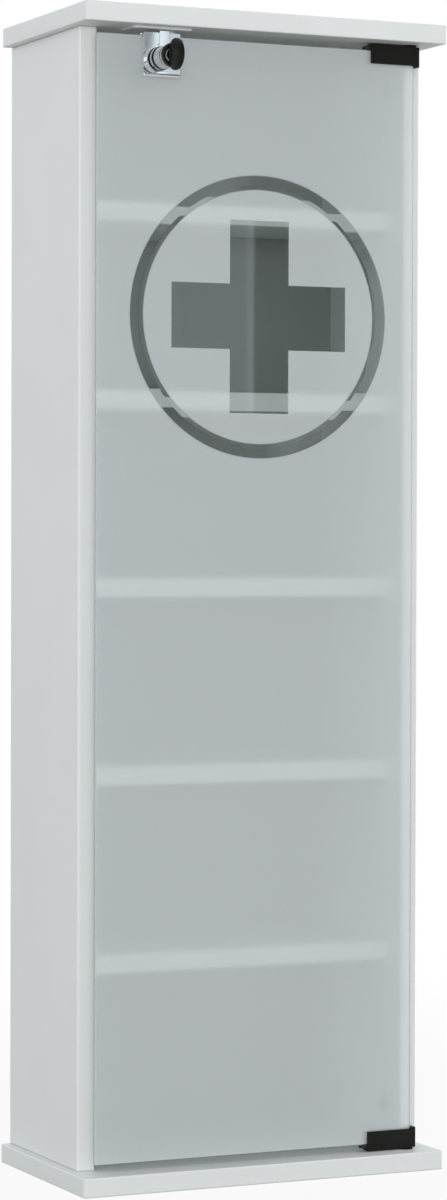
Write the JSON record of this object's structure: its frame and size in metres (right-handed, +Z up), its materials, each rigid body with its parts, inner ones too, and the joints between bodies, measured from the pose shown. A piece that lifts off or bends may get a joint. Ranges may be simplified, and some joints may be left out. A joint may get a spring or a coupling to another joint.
{
  "type": "lockable medicine cabinet",
  "caption": "Tall narrow medicine cabinet of white coated boards with shelves behind a frosted glass door on pivot hinges, closed by a clamp-on cylinder lock with a key",
  "frame": {"origin": "centre of the base board's underside", "axes": "+X to the right seen from the front, +Y towards the back, +Z up"},
  "size_m": [0.33, 0.219, 0.97],
  "materials": {
    "white_board": "white melamine-coated chipboard, fine satin",
    "white_back": "white coated hardboard",
    "beech": "plain fluted beech",
    "zinc": "die-cast zinc",
    "nickel_steel": "nickel-plated steel",
    "black_steel": "blackened steel",
    "black_metal": "black powder-coated zinc, satin",
    "black_rubber": "soft black lining",
    "grey_rubber": "soft grey lining",
    "black_plastic": "black moulded plastic, half gloss",
    "chrome": "polished chrome",
    "brass": "stamped brass",
    "satin_glass": "satin-frosted float glass with a clear cut ring and a clear cross"
  },
  "bodies": {
    "cabinet": {"top_board": "white_board", "base_board": "white_board", "left_side_panel": "white_board", "right_side_panel": "white_board", "back_panel": "white_back", "shelf_1": "white_board", "shelf_2": "white_board", "shelf_3": "white_board", "shelf_4": "white_board", "shelf_5": "white_board", "shelf_pins": "nickel_steel", "panel_dowels": "beech", "cam_bolts": "zinc", "cam_discs": "zinc", "left_hanger_plate": "nickel_steel", "right_hanger_plate": "nickel_steel", "hanger_screws": "nickel_steel", "upper_pivot_bush": "black_plastic", "lower_pivot_bush": "black_plastic", "strike_plate": "nickel_steel", "strike_screws": "nickel_steel"},
    "door": {"door_glass": "satin_glass", "upper_hinge_clamp": "black_metal", "lower_hinge_clamp": "black_metal", "upper_hinge_insert": "black_rubber", "lower_hinge_insert": "black_rubber", "upper_pivot_pin": "nickel_steel", "lower_pivot_pin": "nickel_steel", "hinge_grub_screws": "black_steel", "lock_clamp": "chrome", "lock_insert": "grey_rubber", "lock_grub_screws": "nickel_steel", "lock_barrel": "chrome", "lock_collar": "black_plastic"},
    "lock_core": {"lock_plug": "black_steel", "lock_wafers": "brass"},
    "bolt": {"lock_bolt": "nickel_steel"},
    "key": {"key_blade": "nickel_steel", "key_head": "black_plastic"}
  },
  "joints": [
    {"name": "door_swing", "type": "hinge", "parent": "cabinet", "child": "door", "pos_m": [0.141, -0.07, 0.485], "axis": [0, 0, 1], "range_deg": [0, 180]},
    {"name": "key_turn", "type": "hinge", "parent": "door", "child": "lock_core", "pos_m": [-0.095, -0.1074, 0.9277], "axis": [0, -1, 0], "range_deg": [0, 90]},
    {"name": "bolt_lift", "type": "slide", "parent": "door", "child": "bolt", "axis": [0, 0, 1], "range_m": [0, 0.00537]},
    {"name": "key_withdraw", "type": "slide", "parent": "lock_core", "child": "key", "axis": [0, -1, 0], "range_m": [0, 0.026]}
  ],
  "couplings": [
    {"joint": "bolt_lift", "follows": "key_turn", "m_per_rad": 0.0034211}
  ]
}
